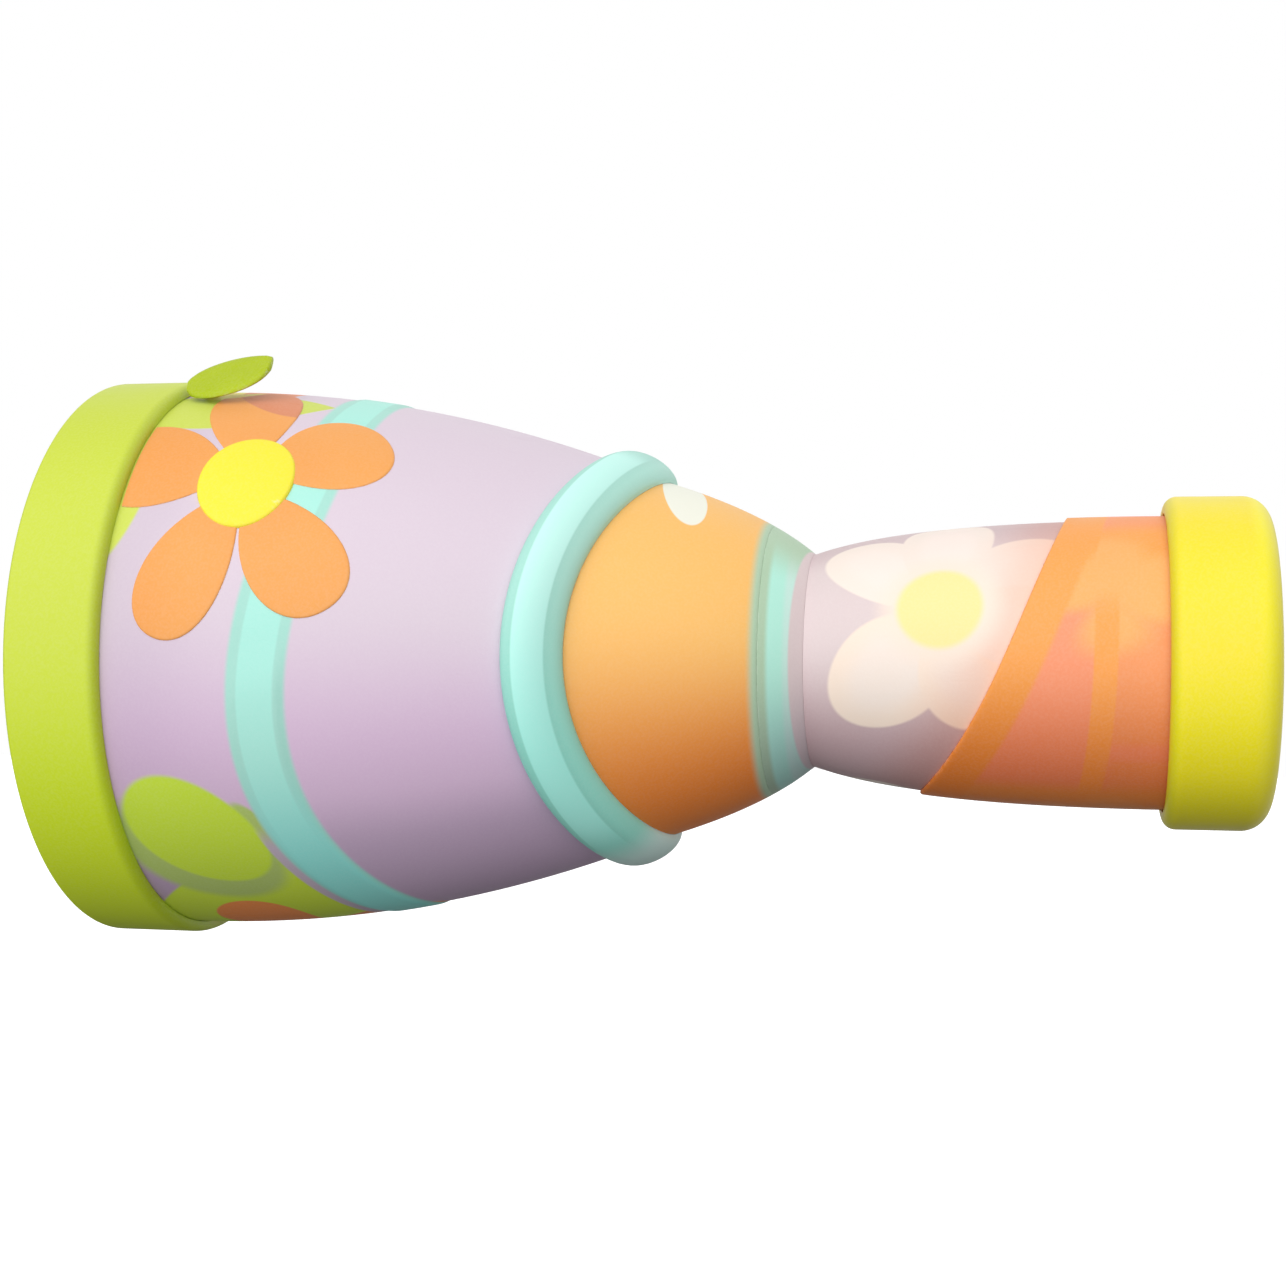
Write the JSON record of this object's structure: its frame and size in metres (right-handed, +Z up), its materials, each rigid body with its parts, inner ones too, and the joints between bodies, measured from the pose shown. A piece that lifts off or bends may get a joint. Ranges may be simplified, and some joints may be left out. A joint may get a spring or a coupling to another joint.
{
  "type": "kaleidoscope",
  "caption": "Toy kaleidoscope: flared body with a turning object cell of loose chips, a three-mirror tunnel and an eyepiece cap.",
  "frame": {"origin": "centre of the front face of the frosted lens and turning rim, on the optical axis", "axes": "+X along the optical axis from the wide turning end to the eyepiece; +Z up, through the leaf tab's side, as the toy lies in use"},
  "size_m": [0.189, 0.0942, 0.0968],
  "materials": {
    "lime": "satin moulded plastic",
    "lavender": "satin painted plastic",
    "mint": "satin soft plastic",
    "orange": "satin plastic",
    "lilac": "satin painted plastic",
    "coral": "satin printed sleeve",
    "yellow": "satin moulded plastic",
    "leaf_green": "satin plastic",
    "flower_yellow": "satin plastic",
    "clear": "clear acrylic",
    "frosted": "frosted translucent acrylic",
    "black": "matt black",
    "mirror": "front-silvered strip",
    "foam": "open-cell foam",
    "felt": "pressed felt",
    "ruby": "clear tinted acrylic",
    "cobalt": "clear tinted acrylic",
    "amber": "clear tinted acrylic",
    "emerald": "clear tinted acrylic",
    "magenta": "clear tinted acrylic",
    "violet": "clear tinted acrylic",
    "turquoise": "clear tinted acrylic",
    "lemon": "clear tinted acrylic"
  },
  "bodies": {
    "barrel": {"front_shell": "lavender", "centre_cone": "orange", "trim_band": "mint", "neck_ring": "mint", "grip_tube": "lilac", "grip_wrap": "coral", "eyepiece_cap": "yellow", "leaf_tab": "leaf_green", "flower_petal_1": "orange", "flower_petal_2": "orange", "flower_petal_3": "orange", "flower_petal_4": "orange", "flower_petal_5": "orange", "flower_centre": "flower_yellow", "mirror_tube": "black", "mirror_1": "mirror", "mirror_2": "mirror", "mirror_3": "mirror", "mirror_pad_1": "foam", "mirror_pad_2": "foam", "mirror_pad_3": "foam", "front_baffle": "black", "rear_centring_ring": "black", "field_stop": "black", "eye_retainer": "black", "eye_window": "clear", "slip_washer": "felt"},
    "object_cell": {"cell_rim": "lime", "cell_cup": "clear", "front_lens": "frosted", "cell_spacer": "black", "rear_window": "clear", "window_retainer": "black"},
    "chip_triangle": {"chip_triangle": "ruby"},
    "chip_star": {"chip_star": "cobalt"},
    "chip_disc": {"chip_disc": "amber"},
    "chip_hexagon": {"chip_hexagon": "emerald"},
    "chip_square": {"chip_square": "magenta"},
    "chip_heart": {"chip_heart": "violet"},
    "chip_ring": {"chip_ring": "turquoise"},
    "chip_diamond": {"chip_diamond": "lemon"}
  },
  "joints": [
    {"name": "cell_turn", "type": "hinge", "parent": "barrel", "child": "object_cell", "pos_m": [0.01, 0, 0], "axis": [1, 0, 0], "continuous": true},
    {"name": "chip_triangle_tumble", "type": "hinge", "parent": "object_cell", "child": "chip_triangle", "pos_m": [0.0068, 0, 0], "axis": [1, 0, 0], "continuous": true},
    {"name": "chip_star_tumble", "type": "hinge", "parent": "object_cell", "child": "chip_star", "pos_m": [0.0068, 0, 0], "axis": [1, 0, 0], "continuous": true},
    {"name": "chip_disc_tumble", "type": "hinge", "parent": "object_cell", "child": "chip_disc", "pos_m": [0.0068, 0, 0], "axis": [1, 0, 0], "continuous": true},
    {"name": "chip_hexagon_tumble", "type": "hinge", "parent": "object_cell", "child": "chip_hexagon", "pos_m": [0.0068, 0, 0], "axis": [1, 0, 0], "continuous": true},
    {"name": "chip_square_tumble", "type": "hinge", "parent": "object_cell", "child": "chip_square", "pos_m": [0.0115, 0, 0], "axis": [1, 0, 0], "continuous": true},
    {"name": "chip_heart_tumble", "type": "hinge", "parent": "object_cell", "child": "chip_heart", "pos_m": [0.0115, 0, 0], "axis": [1, 0, 0], "continuous": true},
    {"name": "chip_ring_tumble", "type": "hinge", "parent": "object_cell", "child": "chip_ring", "pos_m": [0.0115, 0, 0], "axis": [1, 0, 0], "continuous": true},
    {"name": "chip_diamond_tumble", "type": "hinge", "parent": "object_cell", "child": "chip_diamond", "pos_m": [0.0115, 0, 0], "axis": [1, 0, 0], "continuous": true}
  ]
}
